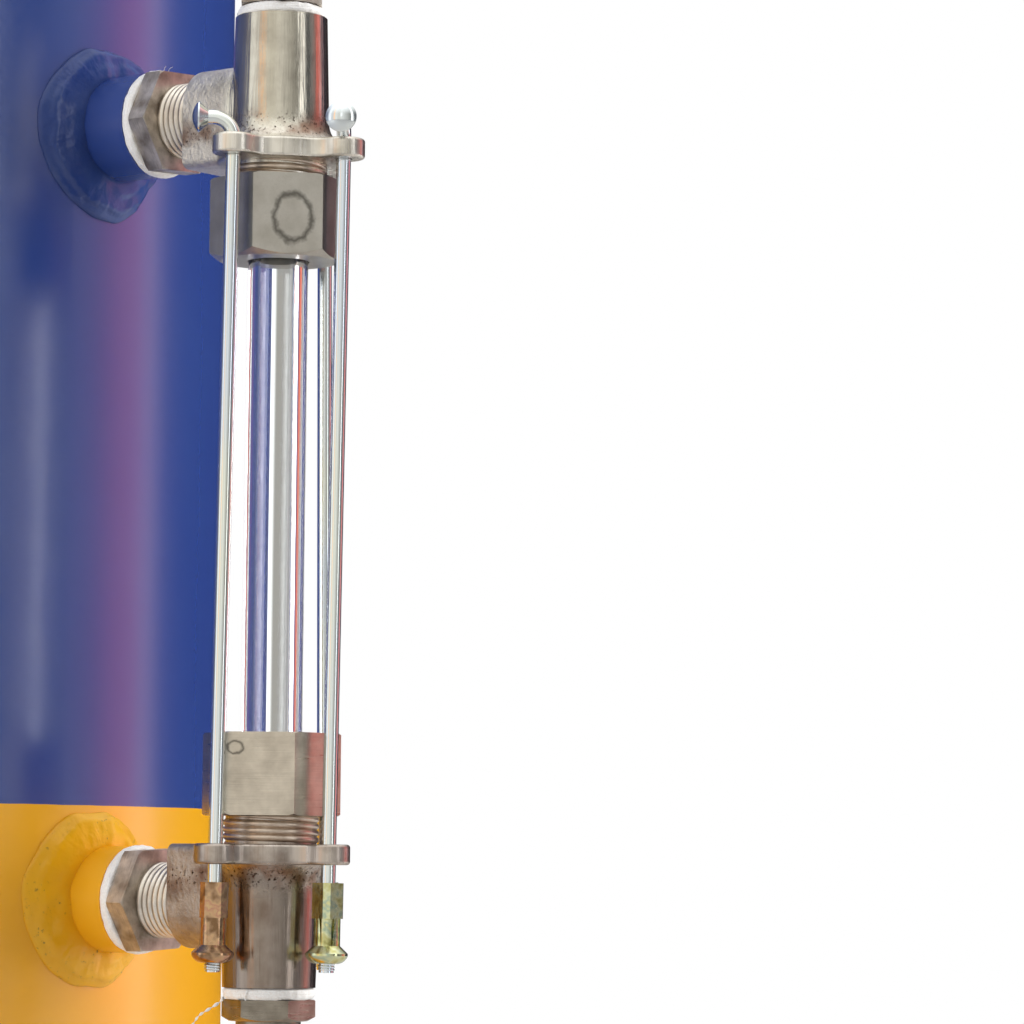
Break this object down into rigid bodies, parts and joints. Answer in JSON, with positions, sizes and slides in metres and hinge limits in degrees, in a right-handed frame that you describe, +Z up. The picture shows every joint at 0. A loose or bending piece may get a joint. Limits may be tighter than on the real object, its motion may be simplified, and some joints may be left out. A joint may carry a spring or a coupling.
{
  "type": "boiler water column with gauge glass",
  "caption": "Small upright steel boiler vessel on a foot ring, with a tubular gauge glass between two cast bodies, guarded by bent rods, to show the water level",
  "frame": {"origin": "on the vessel's upright axis at ground level, at the centre of the anchor holes", "axes": "+Z up along the vessel's axis, -Y towards the gauge glass"},
  "size_m": [0.32, 0.3876, 0.6324],
  "materials": {
    "blue_paint": "glossy enamel",
    "yellow_paint": "glossy enamel",
    "two_tone_paint": "glossy enamel, blue above a level line and yellow below",
    "cast_steel": "cast and ground",
    "machined_steel": "machined",
    "dark_steel": "machined, stained",
    "bright_zinc": "bright zinc",
    "yellow_zinc": "yellow passivated zinc",
    "clear_glass": "clear",
    "sealing_tape": "white thread tape",
    "packing_rubber": "matte"
  },
  "bodies": {
    "root": {"vessel_shell": "two_tone_paint", "top_dished_end": "blue_paint", "bottom_dished_end": "yellow_paint", "upper_girth_weld": "blue_paint", "lower_girth_weld": "yellow_paint", "base_ring": "yellow_paint", "foot_ring": "yellow_paint", "foot_ring_weld": "yellow_paint", "top_socket": "blue_paint", "top_socket_weld": "blue_paint", "drain_socket": "yellow_paint", "drain_socket_weld": "yellow_paint", "upper_gauge_socket": "blue_paint", "lower_gauge_socket": "yellow_paint", "upper_socket_weld": "blue_paint", "lower_socket_weld": "yellow_paint", "upper_arm_tape": "sealing_tape", "lower_arm_tape": "sealing_tape", "upper_hex_nipple": "dark_steel", "lower_hex_nipple": "dark_steel", "upper_gauge_body": "cast_steel", "lower_gauge_body": "cast_steel", "upper_gland_nut": "machined_steel", "lower_gland_nut": "machined_steel", "upper_packing": "packing_rubber", "lower_packing": "packing_rubber", "gauge_glass": "clear_glass", "upper_plug_tape": "sealing_tape", "lower_plug_tape": "sealing_tape", "upper_end_plug": "dark_steel", "lower_end_plug": "machined_steel", "guard_rod_left": "bright_zinc", "rod_nipple_left": "yellow_zinc", "guard_rod_front": "bright_zinc", "rod_nipple_front": "yellow_zinc", "guard_rod_right": "bright_zinc", "rod_nipple_right": "yellow_zinc"}
  },
  "joints": []
}
